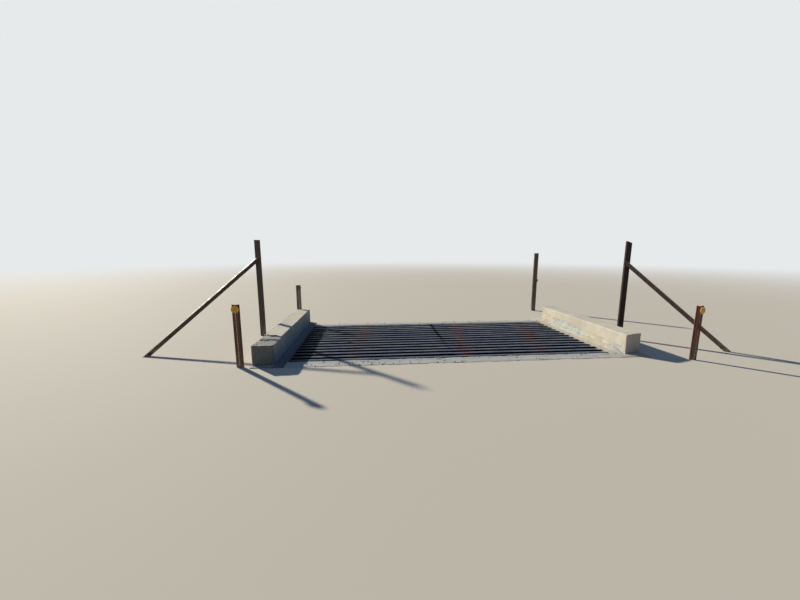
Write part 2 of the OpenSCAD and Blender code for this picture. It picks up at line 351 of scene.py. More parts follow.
def flipped(faces):
    """Faces turned to look the other way."""
    return [tuple(reversed(face)) for face in faces]


def skin(rows, width):
    """Quads between neighbouring closed rings of equal width."""
    return [
        (r * width + k, r * width + (k + 1) % width, (r + 1) * width + (k + 1) % width, (r + 1) * width + k)
        for r in range(rows - 1)
        for k in range(width)
    ]


def capped_skin(rows, width):
    """The same with a face over the first ring and the last one."""
    last = (rows - 1) * width
    return skin(rows, width) + [tuple(range(width))[::-1], tuple(range(last, last + width))]


def joined(parts):
    """Several (points, faces) lists as one."""
    points, faces, start = [], [], 0
    for p, f in parts:
        points.append(np.asarray(p, float))
        faces += [tuple(start + i for i in face) for face in f]
        start += len(p)
    return np.concatenate(points), faces


# Materials

def put(tree, socket, value):
    """Links a socket to another, or sets its number or colour."""
    if isinstance(value, bpy.types.NodeSocket):
        tree.links.new(value, socket)
    elif socket.type == "RGBA" and len(value) == 3:
        socket.default_value = (*value, 1)
    else:
        socket.default_value = value


def new_node(tree, kind, sockets, output=0, **settings):
    """Adds a node with its settings, fills its inputs and returns one of its outputs."""
    node = tree.nodes.new("ShaderNode" + kind)
    for name, value in settings.items():
        setattr(node, name, value)
    for key, value in sockets.items():
        put(tree, node.inputs[key], value)
    return node.outputs[output]


class Finish:
    """One procedural material, built node by node."""

    def __init__(self, name, metallic=0.0, specular=0.5):
        self.material = bpy.data.materials.new(name)
        self.material.use_nodes = True
        self.tree = self.material.node_tree
        self.shader = self.tree.nodes["Principled BSDF"]
        self.shader.inputs["Metallic"].default_value = metallic
        self.shader.inputs["Specular IOR Level"].default_value = specular
        self.place = self.node("TexCoord", {}, "Object")

    def node(self, kind, sockets, output=0, **settings):
        return new_node(self.tree, kind, sockets, output, **settings)

    def noise(self, size, detail=4, roughness=0.6, stretch=(1, 1, 1), shift=0.0):
        scale = [1 / (size * s) for s in stretch]
        start = (shift, shift * 1.7, shift * 0.6)
        place = self.node("Mapping", {"Vector": self.place, "Scale": scale, "Location": start})
        return self.node("TexNoise", {"Vector": place, "Scale": 1, "Detail": detail, "Roughness": roughness})

    def cells(self, size):
        """Distance to the nearest of many scattered points."""
        return self.node("TexVoronoi", {"Vector": self.place, "Scale": 1 / size})

    def fade(self, value, low, high, to_low=0.0, to_high=1.0):
        """to_low where value is below low, to_high where it is above high, and a smooth step between."""
        span = {"From Min": low, "From Max": high, "To Min": to_low, "To Max": to_high}
        return self.node("MapRange", {"Value": value, **span}, interpolation_type="SMOOTHSTEP")

    def math(self, operation, a, b=0.0):
        return self.node("Math", {0: a, 1: b}, operation=operation)

    def times(self, a, b):
        return self.math("MULTIPLY", a, b)

    def minus(self, a, b):
        return self.math("SUBTRACT", a, b)

    def most(self, a, b):
        return self.math("MAXIMUM", a, b)

    def mix(self, factor, a, b, blend="MIX"):
        return self.node("Mix", {0: factor, 6: a, 7: b}, 2, data_type="RGBA", blend_type=blend)

    def along(self, axis):
        """A point's own X, Y or Z."""
        return self.node("SeparateXYZ", {0: self.place}, axis)

    def facing(self, axis):
        """How far the surface faces along an axis, from -1 to 1."""
        return self.node("SeparateXYZ", {0: self.node("TexCoord", {}, "Normal")}, axis)

    def distance(self, x, y):
        """How far a point is from a place, both seen from above."""
        dx, dy = self.minus(self.along("X"), x), self.minus(self.along("Y"), y)
        return self.math("SQRT", self.math("ADD", self.times(dx, dx), self.times(dy, dy)))

    def number(self, name):
        """A number that the mesh keeps for each point."""
        return self.node("Attribute", {}, "Fac", attribute_name=name)

    def finished(self, colour, roughness, *relief):
        """Sets the surface, with layers of relief as (height, depth, strength). Returns the material."""
        put(self.tree, self.shader.inputs["Base Color"], colour)
        put(self.tree, self.shader.inputs["Roughness"], roughness)
        socket = self.shader.inputs["Normal"]
        for height, depth, strength in reversed(relief):
            layer = self.node("Bump", {"Height": height, "Distance": depth, "Strength": strength})
            put(self.tree, socket, layer)
            socket = layer.node.inputs["Normal"]
        return self.material


def wheel_tracks(m, nearness):
    """How far a place lies in a wheel track: soft bands that wander across the deck."""
    track = 0.0
    for k, (near, far, width, near_strength, far_strength) in enumerate(TRACKS):
        middle = m.fade(nearness, 0.0, 1.0, deck_x + far, deck_x + near)
        wander = m.times(m.minus(m.noise(0.35, detail=2, shift=11.0 + k), 0.5), TRACK_WANDER)
        away = m.math("ABSOLUTE", m.minus(m.along("X"), m.math("ADD", middle, wander)))
        band = m.fade(away, width * 0.3, width * 1.6, 1.0, 0.0)
        band = m.times(band, m.fade(nearness, 0.0, 1.0, far_strength, near_strength))
        track = m.most(track, band)
    return track


def bar_steel():
    """Dark weathered steel: dull worn tops whose bluish tone is partly painted sky reflection, maroon rust in
    the wheel tracks, and near-black sides of painted shade.
    """
    m = Finish("worn_bar_steel", specular=0.03)
    x = m.along("X")
    top = m.fade(m.facing("Z"), 0.92, 0.995)
    mottle = m.noise(0.09, detail=6, stretch=(2.5, 1, 1))
    streak = m.noise(0.06, detail=5, stretch=(0.4, 4, 1), shift=3.0)
    grain = m.noise(0.004, detail=3, shift=7.0)
    nearness = m.fade(m.along("Y"), deck_low[1], deck_high[1], 1.0, 0.0)
    track = wheel_tracks(m, nearness)
    dust = m.fade(m.noise(0.35, detail=5, shift=2.0), 0.50, 0.70, 0, 0.35)
    edge = m.fade(nearness, 0.0, 0.22, 0.55, 0.0)
    edge = m.times(edge, m.fade(m.noise(0.5, detail=4, shift=9.0), 0.42, 0.55))
    # Painted reflection: the tops' bluish tone partly stands in for the sky's sheen, with the real gloss kept
    # low
    worn = m.mix(m.fade(mottle, 0.35, 0.7), (0.074, 0.086, 0.124), (0.126, 0.142, 0.184))
    worn = m.mix(m.fade(m.noise(0.03, shift=5.0), 0.58, 0.8, 0, 0.4), worn, (0.18, 0.168, 0.16))
    rust = m.mix(m.fade(grain, 0.3, 0.7), (0.165, 0.070, 0.066), (0.145, 0.090, 0.092))
    patchy = m.times(track, m.fade(streak, 0.28, 0.6, 0.35, 1.0))
    worn = m.mix(m.times(patchy, 0.75), worn, rust)
    worn = m.mix(m.most(dust, edge), worn, (0.21, 0.19, 0.17))
    stain = m.fade(m.distance(STAIN_X, STAIN_Y), STAIN_SIZE * 0.5, STAIN_SIZE * 1.2, 1.0, 0.0)
    worn = m.mix(stain, worn, (0.02, 0.02, 0.02))
    # Painted shadow: the left ends are darkened to a bluish near-black where the left curb's shadow falls;
    # the seam band takes the same colour
    outer = m.fade(x, deck_low[0], deck_low[0] + PAINTED_SHADOW_END, 0.95, 0.0)
    seam = m.fade(m.math("ABSOLUTE", m.minus(x, deck_x)), *SEAM_DARK, 1.0, 0.0)
    seam = m.times(seam, m.fade(nearness, 0.25, 0.85, 0.9, 0.0))
    worn = m.mix(m.most(outer, seam), worn, (0.006, 0.010, 0.022))
    spill = m.math("ADD", x, m.times(m.minus(m.noise(0.03, shift=21.0), 0.5), 0.06))
    spill = m.fade(spill, deck_high[0] - DUSTY_END, deck_high[0] - 0.5 * DUSTY_END, 0.0, 0.85)
    worn = m.mix(spill, worn, (0.40, 0.365, 0.29))
    # Painted shade: the sides are near-black as they face away from the sun, with rust and dust over it
    side = m.mix(m.fade(mottle, 0.45, 0.75), (0.001, 0.001, 0.002), (0.005, 0.004, 0.004))
    side = m.mix(m.times(track, 0.9), side, (0.050, 0.007, 0.008))
    side = m.mix(edge, side, (0.025, 0.022, 0.020))
    dull = m.most(m.fade(mottle, 0.3, 0.7, 0.62, 0.45), m.fade(top, 0.0, 1.0, 0.95, 0.0))
    return m.finished(m.mix(top, side, worn), dull, (mottle, 0.0015, 0.5), (grain, 0.0006, 0.4))


def beam_steel():
    """Rusty steel below the deck, with dust on what faces up."""
    m = Finish("rusty_beam_steel", metallic=0.15)
    flake = m.noise(0.05, detail=7)
    base = m.mix(m.fade(flake, 0.35, 0.65), (0.045, 0.032, 0.027), (0.13, 0.065, 0.038))
    dust = m.times(m.fade(m.facing("Z"), 0.6, 0.95), m.fade(m.noise(0.08, shift=4.0), 0.35, 0.6))
    return m.finished(m.mix(dust, base, (0.30, 0.25, 0.19)), 0.8, (flake, 0.002, 0.5))


def rusty_steel(name, dark, warm, pale, painted_highlight=None, painted_lit_flange=None, specular=0.5):
    """Weathered post steel: blotches of rust, faint runs down its length and a dusty foot.

    painted_highlight is a painted highlight on what faces up, and painted_lit_flange is painted sunlight on
    what faces sideways.
    """
    m = Finish(name, metallic=0.1 * specular, specular=specular)
    blotch = m.noise(0.06, detail=7, stretch=(1, 1, 2.2))
    runs = m.noise(0.012, detail=4, stretch=(1, 1, 22), shift=2.0)
    speck = m.noise(0.006, detail=3, shift=8.0)
    base = m.mix(m.fade(blotch, 0.38, 0.64), dark, warm)
    base = m.mix(m.fade(runs, 0.5, 0.75, 0, 0.5), base, pale)
    base = m.mix(m.fade(speck, 0.6, 0.75, 0, 0.45), base, warm)
    foot = m.fade(m.along("Z"), road_z, road_z + 0.28, 0.55, 0.0)
    foot = m.times(foot, m.fade(m.noise(0.05, shift=5.0), 0.35, 0.65))
    base = m.mix(foot, base, (0.42, 0.35, 0.26))
    # Painted highlight: what faces up is painted lighter, standing in for the sun's glint on it
    if painted_highlight:
        base = m.mix(m.fade(m.facing("Z"), 0.45, 0.7, 0.0, 0.85), base, painted_highlight)
    # Painted sunlight: the sideways faces are painted paler, standing in for sun that the lip keeps off them
    if painted_lit_flange:
        base = m.mix(m.fade(m.math("ABSOLUTE", m.facing("X")), 0.6, 0.9, 0.0, 0.8), base, painted_lit_flange)
    dull = m.fade(blotch, 0.3, 0.7, 0.5, 0.75)
    return m.finished(base, dull, (blotch, 0.0015, 0.4), (speck, 0.0006, 0.5))


def toned(colour, factors):
    """A colour times one factor, or times one for each of its parts."""
    return list(np.multiply(colour, factors))


def concrete(name, tint, grime=(0.42, 0.43, 0.45)):
    """Weathered concrete: sandy grain, stains, rough broken zones, bluish-white lime patches, and the grime,
    cracks and painted shade that the mesh's numbers call for.
    """
    m = Finish(name, specular=0.3)
    cloud = m.noise(0.40, detail=5, roughness=0.65)
    stain = m.noise(0.11, detail=6, shift=3.0)
    sand = m.noise(0.006, detail=4, roughness=0.7, shift=6.0)
    speckle = m.cells(0.011)
    base = m.mix(m.fade(cloud, 0.35, 0.65), toned(tint, 0.86), toned(tint, 1.05))
    base = m.mix(m.fade(stain, 0.52, 0.75, 0, 0.5), base, toned(tint, (0.78, 0.76, 0.72)))
    base = m.mix(m.fade(sand, 0.30, 0.5, 0.4, 0.0), base, toned(tint, 0.55))
    # Grime and painted shade: the mesh's number multiplies in a darkening colour, which is a blue painted
    # shade on the left curb
    base = m.mix(m.number("grime"), base, grime, "MULTIPLY")
    stones = m.mix(m.fade(speckle, 0.15, 0.55), (0.34, 0.355, 0.32), (0.15, 0.15, 0.135))
    stones = m.mix(m.fade(m.noise(0.03, shift=9.0), 0.42, 0.62), stones, (0.22, 0.23, 0.21))
    base = m.mix(m.times(m.number("broken"), 0.85), base, stones)
    patch = m.fade(m.noise(0.07, detail=8, roughness=0.75, shift=12.0), 0.36, 0.54)
    flecks = m.fade(m.noise(0.018, detail=5, roughness=0.7, shift=14.0), 0.42, 0.58)
    crust = m.mix(flecks, (0.21, 0.25, 0.25), (0.48, 0.58, 0.62))
    lime = m.times(m.number("lime"), m.times(patch, m.fade(flecks, 0.0, 1.0, 0.5, 0.95)))
    base = m.mix(lime, base, crust)
    dust = m.times(m.number("dust"), m.fade(stain, 0.3, 0.55, 0.5, 1.0))
    base = m.mix(dust, base, (0.54, 0.475, 0.36))
    # A dark crack at the left curb's step, and painted shade over its near face
    base = m.mix(m.number("crevice"), base, (0.028, 0.028, 0.025))
    # Darker below the road's level
    below_road = m.fade(m.along("Z"), road_z - 0.16, road_z - 0.03, 0.6, 0.0)
    base = m.mix(below_road, base, (0.14, 0.12, 0.09))
    return m.finished(base, 0.92, (stain, 0.004, 0.4), (speckle, 0.0025, 0.35), (sand, 0.0012, 0.6))


def loose_stone(name, dark, light):
    """Dusty stones: each keeps its own tone between two."""
    m = Finish(name, specular=0.3)
    grain = m.noise(0.004, detail=4)
    base = m.mix(m.number("tone"), dark, light)
    base = m.mix(m.fade(grain, 0.35, 0.65, 0, 0.35), base, (0.36, 0.29, 0.22))
    return m.finished(base, 0.9, (grain, 0.001, 0.6))


def amber_plastic():
    """Clear amber reflector plastic over small prisms, a little faded and dusty."""
    m = Finish("amber_reflector")
    prism = m.cells(0.0042)
    fog = m.noise(0.03, detail=4)
    base = m.mix(m.fade(prism, 0.15, 0.6), (0.86, 0.50, 0.035), (0.62, 0.32, 0.02))
    base = m.mix(m.fade(fog, 0.5, 0.75, 0, 0.35), base, (0.70, 0.50, 0.16))
    return m.finished(base, m.fade(fog, 0.35, 0.7, 0.22, 0.45), (prism, 0.001, 0.8))


# Deck

def bar_rows(side):
    """A panel's lowest and highest corner, the size of its square tubes, and the Y of each one's middle."""
    low, high = corners(f"{side}_panel_bars")
    size = high[2] - low[2]
    pitch = (high[1] - low[1] - size) / (BAR_COUNT - 1)
    return low, high, size, low[1] + size / 2 + np.arange(BAR_COUNT) * pitch


def deck_bars(side, material):
    """The square tubes of one panel, slightly bowed, with rounded corners and open ends."""
    low, high, size, middles = bar_rows(side)
    stations = np.linspace(low[0], high[0], int((high[0] - low[0]) / BAR_STATION))
    seam, towards_seam = (-1, 1) if side == LEFT else (0, -1)
    rings = (tube_ring(size, BAR_CORNER), tube_ring(size - 2 * BAR_WALL, BAR_CORNER - BAR_WALL))
    width = len(rings[0])
    start = len(stations) * width
    shell = skin(len(stations), width)
    faces = shell + flipped([tuple(start + i for i in face) for face in shell])
    for row in (0, start - width):
        for k in range(width):
            a, b = row + k, row + (k + 1) % width
            rim = (a, b, start + b, start + a)
            faces.append(rim if row else rim[::-1])
    parts = []
    for bar, y in enumerate(middles):
        seed = bar + (100 if side == RIGHT else 0)
        line = np.outer(stations, (1, 0, 0)) + (0, seed * 3.0, 0)
        bow = np.stack([noise(line, 0.6, seed), noise(line, 0.9, seed + 50) - 1], axis=-1) * BAR_BOW
        middle = np.array([y, road_z - size / 2]) + bow[:, None, :]
        reach = stations.copy()
        reach[seam] += towards_seam * SEAM_CLOSING * (1 - bar / (BAR_COUNT - 1))
        xs = np.repeat(reach[:, None], width, axis=1)[..., None]
        points = [np.concatenate([xs, middle + ring], axis=-1).reshape(-1, 3) for ring in rings]
        parts.append((np.concatenate(points), faces))
    points, faces = joined(parts)
    make(f"{side}_deck_bars", points, faces, material, "bar_steel", [f"{side}_panel_bars"], shade=40)


def weld_bead(start, end, out, seed):
    """A rippled half-round bead between two points, bulging along out."""
    count = max(8, int(np.linalg.norm(end - start) / WELD_STATION))
    t = np.linspace(0, 1, count)
    ripple = 0.75 + 0.25 * np.abs(np.sin(t * count * 0.9 + seed))
    fat = WELD_SIZE * ripple * np.sqrt(np.clip(1 - (2 * t - 1) ** 8, 0.02, 1))
    up = np.array([0, 0, 1.0])
    angles = np.radians([-20, 25, 65, 110])[:, None]
    ring = np.cos(angles) * out + np.sin(angles) * up
    centre = start + (end - start) * t[:, None]
    points = centre[:, None, :] + fat[:, None, None] * ring - 0.3 * WELD_SIZE * (out + up)
    return points.reshape(-1, 3), capped_skin(count, len(ring))


def deck_welds(side, material):
    """Fillet welds where each bar sits on each stringer."""
    low, _, size, middles = bar_rows(side)
    parts = []
    for s in range(1, STRINGERS + 1):
        beam_low, beam_high = corners(f"{side}_stringer_{s}")
        for bar, out in itertools.product(range(BAR_COUNT), (-1, 1)):
            y = middles[bar] + out * (size / 2 - WELD_INSET)
            if not beam_low[1] + WELD_MARGIN < y < beam_high[1] - WELD_MARGIN:
                continue
            seed = bar * 7 + s * 13 + out
            trim = WELD_TRIM + WELD_TRIM_SPREAD * (lattice(np.array([seed, 1, 1]), 5) + 1)
            start = np.array([beam_low[0] + trim, y, low[2]])
            end = np.array([beam_high[0] - trim, y, low[2]])
            parts.append(weld_bead(start, end, np.array([0, out, 0.0]), seed))
    points, faces = joined(parts)
    make(f"{side}_deck_welds", points, faces, material, "bar_steel")


# Concrete

def left_damage(points, at, out, low, high):
    """The left curb's broken near end and worn outer edge: lowers its top, says what is broken, where its
    step's crack is dark, and where painted shade falls on its near and inner faces.
    """
    x, y, z = points.T
    along_x, along_y = points * (1, 0, 0), points * (0, 1, 0)
    across = (x - low[0]) / (high[0] - low[0])
    wave = 0.015 * noise(along_x, 0.09, 44) + 0.004 * noise(along_x, 0.035, 48)
    middle = low[1] + SPALL_LENGTH - SPALL_SKEW / 2
    held = smooth(y, low[1], low[1] + 0.30) * smooth(-y, -middle - 0.50, -middle - 0.10)
    at[:, 1] += held * (wave - SPALL_SKEW * (across - 0.5))
    up = smooth(out[:, 2], 0.3, 0.8)
    beyond = y - middle
    spalled = smooth(-beyond, -STEP_HALF, STEP_HALF)
    top = high[2] - spalled * (SPALL_DEPTH + 0.010 * rough(points, 0.12, 45))
    top = top - spalled * 0.010 * smooth(rough(points, 0.04, 46), 0.1, 0.6)
    reach = WORN_WIDTH + 0.030 * noise(along_y, 0.16, 49) + 0.010 * noise(along_y, 0.04, 50)
    outer = smooth(low[0] + reach - x, 0, WORN_SLOPE) * (1 - spalled)
    top = top - outer * (WORN_DEPTH + 0.006 * rough(points, 0.05, 47))
    base = high[2] - SPALL_BASE
    upper = np.clip((at[:, 2] - base) / (high[2] - base), 0, 1)
    at[:, 2] = np.where(at[:, 2] > base, base + upper * (top - base), at[:, 2])
    gathered = np.where(np.abs(beyond) < STEP_GATHER, beyond * np.abs(beyond) / STEP_GATHER, beyond)
    at[:, 1] += upper * (gathered - beyond)
    near_face, inner_face = smooth(-out[:, 1], 0.3, 0.9), smooth(out[:, 0], 0.3, 0.9)
    height = (z - low[2]) / (high[2] - low[2])
    # Painted shade: the near face and the inner face are darkened, the inner face most towards its foot; the
    # dark line at the step is a crack
    return {
        "broken": up * np.maximum(spalled, 0.7 * outer),
        "crevice": np.maximum(up * smooth(0.010 - np.abs(beyond), 0, 0.006), 0.50 * near_face),
        "grime": 0.32 * near_face + inner_face * (0.78 - 0.60 * smooth(height, 0.1, 1.0)),
    }


def lime_zone(at):
    """How far a place along the right curb is crusted with lime: most towards both ends, none between."""
    y = at[:, 1] - deck_y
    far = smooth(y, *LIME_FAR[:2]) * smooth(-y, -LIME_FAR[3], -LIME_FAR[2])
    near = smooth(-y, *LIME_NEAR[:2]) * smooth(y, -LIME_NEAR[3], -LIME_NEAR[2])
    return np.maximum(far, near)


def right_damage(points, at, out, low, high):
    """The right curb's rough foot on the road side and its crumbled far end.

    Returns how far the surface is set back, how dusty it is, and what is broken or limed; its inner face is
    darkened, partly as splashed dirt and partly as painted shade that tones down its sunlit side.
    """
    along_y = points * (0, 1, 0)
    height = at[:, 2] - low[2]
    along = 2 * (at[:, 1] - low[1]) / (high[1] - low[1]) - 1
    line = FOOT_HEIGHT + FOOT_RISE * along + 0.025 * noise(along_y, 0.30, 52)
    line = line + 0.012 * noise(along_y, 0.05, 53)
    inner = smooth(-out[:, 0], 0.5, 0.9)
    worn = inner * smooth(line - height, -0.01, 0.02)
    stones = 1 - pebbled(points, FOOT_STONE, 54) ** 2
    lift = worn * (FOOT_STONE_RISE * stones * smooth(rough(points, 0.10, 55), -0.5, 0.3) - FOOT_SETBACK)
    broken = worn * (0.18 + 0.30 * smooth(rough(points, 0.15, 56), -0.2, 0.4))
    limed = lime_zone(at)
    splash = worn * (1 - limed) * smooth(rough(points, 0.2, 58), -0.5, 0.2)
    crumbled = smooth(at[:, 1] - high[1] + CRUMBLE_LENGTH, 0, 0.12)
    lift = lift - CRUMBLE_DEPTH * crumbled * np.clip(rough(points, 0.05, 59) + 0.2, 0, 1)
    # The inner face's darkening: partly splashed dirt, partly painted shade against the sun on it
    return lift, 0.7 * splash, {
        "broken": np.maximum(broken, 0.4 * crumbled),
        "lime": inner * smooth(0.02 + 0.9 * line - height, 0, 0.05) * limed,
        "grime": 0.27 * inner,
    }


def curb(side, material):
    """A curb cast in rough concrete: worn, chipped edges, and the damage that each one shows."""
    node = f"{side}_curb"
    low, high = corners(node)
    points, faces = block_surface(low, high, CURB_GRID)
    seed = 10 if side == LEFT else 30
    chips = np.clip(rough(points, 0.10, seed, 3) - 0.05, 0, 1)
    near = smooth(low[1] + END_LENGTH - points[:, 1], 0, END_LENGTH)
    radius = CURB_EDGE + CURB_CHIP * chips + END_CHIP * near * chips
    if side == LEFT:
        inner_corner = near * smooth(points[:, 0] - high[0] + 0.12, 0, 0.10)
        radius = radius + END_CORNER * inner_corner
    at, out = rounded(points, low, high, radius)
    lift = 0.0030 * rough(points, 0.35, seed + 1) + 0.0012 * rough(points, 0.03, seed + 2)
    lift = lift - 0.0025 * smooth(noise(points, 0.017, seed + 3), 0.62, 0.9)
    foot = smooth(0.05 - (points[:, 2] - low[2]), 0, 0.05)
    if side == LEFT:
        splash, damage = 0, left_damage(points, at, out, low, high)
        foot = foot * (1 - smooth(out[:, 0], 0.3, 0.9))
    else:
        deeper, splash, damage = right_damage(points, at, out, low, high)
        lift = lift + deeper
        across = (at[:, 0] - low[0]) / (high[0] - low[0])
        fading = np.clip(1 - (at[:, 1] - low[1]) / RIGHT_SKEW_LENGTH, 0, 1)
        at[:, 1] += RIGHT_END_SKEW * across * fading
    lying = smooth(out[:, 2], 0.5, 0.95) * smooth(rough(points, 0.25, seed + 6), -0.2, 0.5)
    piece = make(node + "_concrete", at + out * lift[:, None], faces, material, "concrete", [node])
    mark(piece, dust=np.clip(0.8 * foot + 0.45 * lying + splash, 0, 1), **damage)


def side_wall(side, material):
    """A side wall below its curb, with a bank of dirt on the ledge beside the bars' ends; the left one's
    ledge is darkened as painted shade.
    """
    node = f"{side}_side_wall"
    low, high = corners(node)
    curb_low, curb_high = corners(f"{side}_curb")
    points, faces = block_surface(low, high, WALL_GRID if side == LEFT else LEDGE_GRID)
    seed = 60 if side == LEFT else 70
    radius = 0.006 + 0.012 * np.clip(rough(points, 0.12, seed, 3), 0, 1)
    at, out = rounded(points, low, high, radius)
    up = smooth(out[:, 2], 0.6, 0.95)
    if side == LEFT:
        from_bars, from_curb = high[0] - at[:, 0], at[:, 0] - curb_high[0]
    else:
        from_bars, from_curb = at[:, 0] - low[0], curb_low[0] - at[:, 0]
    bank = smooth(from_bars, 0.0, 0.05) * smooth(0.15 - from_curb, 0, 0.15) * smooth(from_curb, -0.03, -0.01)
    bank = bank * smooth(at[:, 1] - curb_low[1], -0.02, 0.25)
    swell = HEAP[side] * (1 + 0.5 * rough(points, 0.16, seed + 1)) + 0.004 * rough(points, 0.03, seed + 2)
    pebbles = PEBBLE_RISE * (1 - pebbled(points, PEBBLE, seed + 4) ** 2) * smooth(from_bars, 0.01, 0.04)
    at[:, 2] += np.clip(up * bank * (swell + pebbles), 0, None)
    at = at + out * (0.0015 * rough(points, 0.15, seed + 3))[:, None]
    piece = make(node + "_concrete", at, faces, material, "concrete", [node])
    beside = smooth(from_curb, -0.03, 0.0)
    if side == LEFT:
        # Painted shade: the left ledge darkens more away from the curb, towards the bars
        grime = beside * (0.35 + 0.65 * smooth(from_curb, 0.02, 0.19))
        mark(piece, grime=grime, dust=up * 0.35 * (1 - beside))
    else:
        lime = up * lime_zone(at) * smooth(from_bars, 0.04, 0.09)
        mark(piece, grime=0.1 * beside, dust=up * (0.15 + 0.35 * bank), lime=lime)
    return piece


def abutment_ring(outline):
    """Points around an abutment's outline, finer towards the top, and the direction to the right of each."""
    ring, across = [], []
    for start, stop in zip(outline, np.roll(outline, -1, axis=0)):
        spacing = WALL_GRID if min(start[1], stop[1]) > 0.3 * road_z else 3 * WALL_GRID
        length = np.linalg.norm(stop - start)
        count = max(1, int(length / spacing))
        direction = (stop - start) / length
        ring.append(start + (stop - start) * (np.arange(count) / count)[:, None])
        across.append(np.tile([direction[1], -direction[0]], (count, 1)))
    return np.concatenate(ring), np.concatenate(across)


def abutment(end, material):
    """The front or back abutment with its ledge, swept across the road, its top edges chipped."""
    node = f"{end}_abutment"
    low, high = corners(node)
    if end == FRONT:
        outer_y, wall_y, ledge_y = low[1], deck_low[1] - DECK_GAP, high[1]
    else:
        outer_y, wall_y, ledge_y = high[1], deck_high[1] + DECK_GAP, low[1]
    ledge_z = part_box("left_stringer_1")[0].z
    outline = [(ledge_y, 0.0), (outer_y, 0.0), (outer_y, road_z)]
    outline += [(wall_y, road_z), (wall_y, ledge_z), (ledge_y, ledge_z)]
    ring, across = abutment_ring(np.array(outline))
    xs = np.linspace(low[0], high[0], int((high[0] - low[0]) / WALL_GRID))
    width = len(ring)
    points = np.column_stack([np.repeat(xs, width), np.tile(ring, (len(xs), 1))])
    out = np.tile(across if end == FRONT else -across, (len(xs), 1))
    seed = 80 if end == FRONT else 90
    top = smooth(points[:, 2], road_z - 0.03, road_z)
    edge = np.minimum(np.abs(points[:, 1] - outer_y), np.abs(points[:, 1] - wall_y))
    chip = top * smooth(CHIP_WIDTH - edge, 0, CHIP_WIDTH) * np.clip(rough(points, 0.10, seed, 3) + 0.15, 0, 1)
    points[:, 2] -= CHIP_DEPTH * chip
    shift = 0.0020 * rough(points, 0.25, seed + 1) + 0.0010 * rough(points, 0.04, seed + 2)
    points[:, 1] += out[:, 0] * shift
    points[:, 2] += out[:, 1] * shift * (points[:, 2] > 0.001)
    faces = capped_skin(len(xs), width)
    if end == BACK:
        faces = flipped(faces)
    piece = make(node + "_concrete", points, faces, material, "concrete", [node], shade=50)
    lies = smooth(points[:, 2], road_z - 0.02, road_z - 0.012)
    from_outer = np.abs(points[:, 1] - outer_y)
    band = smooth(DUST_BAND - from_outer + 0.05 * rough(points, 0.2, seed + 4), 0, 0.08)
    mark(piece, broken=0.5 * chip, dust=lies * (0.05 + 0.35 * band) * STRIP_DUST[end])
    return piece


def loose_stones(name, carrier, area, count, sizes, seed, material):
    """Stones lying on a piece: dented balls as one mesh. area is the lowest and highest x and y."""
    mesh = carrier.data
    ground = BVHTree.FromPolygons([v.co for v in mesh.vertices], [p.vertices for p in mesh.polygons])
    ball = bmesh.new()
    bmesh.ops.create_icosphere(ball, subdivisions=2, radius=1)
    shape = np.array([v.co for v in ball.verts])
    sides = [[v.index for v in face.verts] for face in ball.faces]
    ball.free()
    random = np.random.default_rng(seed)
    (low_x, low_y), (high_x, high_y) = area
    parts, tones = [], []
    for k in range(count):
        x = random.uniform(low_x, high_x)
        y = random.uniform(low_y, high_y)
        size = sizes[0] + (sizes[1] - sizes[0]) * random.random() ** 3
        turn, tilt = random.uniform(0, math.pi), random.uniform(-0.5, 0.5)
        flat = random.uniform(0.5, 0.8)
        tone = random.random()
        spot = ground.ray_cast(Vector((x, y, road_z + 1)), Vector((0, 0, -1)))[0]
        if spot is None or spot.z < road_z - STONE_DROP:
            continue
        dents = 1 + 0.28 * noise(shape, 0.8, seed + k)
        spin = Matrix.Rotation(turn, 3, "Z") @ Matrix.Rotation(tilt, 3, "X")
        spin = np.array(spin @ Matrix.Diagonal((1, 0.75, flat)))
        stone = (shape * dents[:, None]) @ spin.T * size / 2
        parts.append((stone + np.array(spot) + (0, 0, 0.15 * size), sides))
        tones.append(np.full(len(shape), tone))
    points, faces = joined(parts)
    piece = make(name, points, faces, material, "concrete")
    mark(piece, tone=np.concatenate(tones))


# Posts and markers

def fold_line(outline, bend):
    """Points along a folded plate's middle line, with each corner as an arc of radius bend."""
    outline = [np.array(p, float) for p in outline]
    line = [outline[0]]
    for before, corner, after in zip(outline, outline[1:], outline[2:]):
        a = (before - corner) / np.linalg.norm(before - corner)
        b = (after - corner) / np.linalg.norm(after - corner)
        half = math.acos(np.clip(np.dot(a, b), -1, 1)) / 2
        cut = bend / math.tan(half)
        start, end = corner + a * cut, corner + b * cut
        middle = corner + (a + b) / np.linalg.norm(a + b) * (bend / math.sin(half))
        for t in np.linspace(0, 1, FOLD_STEPS + 1):
            v = start + (end - start) * t - middle
            line.append(middle + v / np.linalg.norm(v) * bend)
    line.append(outline[-1])
    return np.array(line)


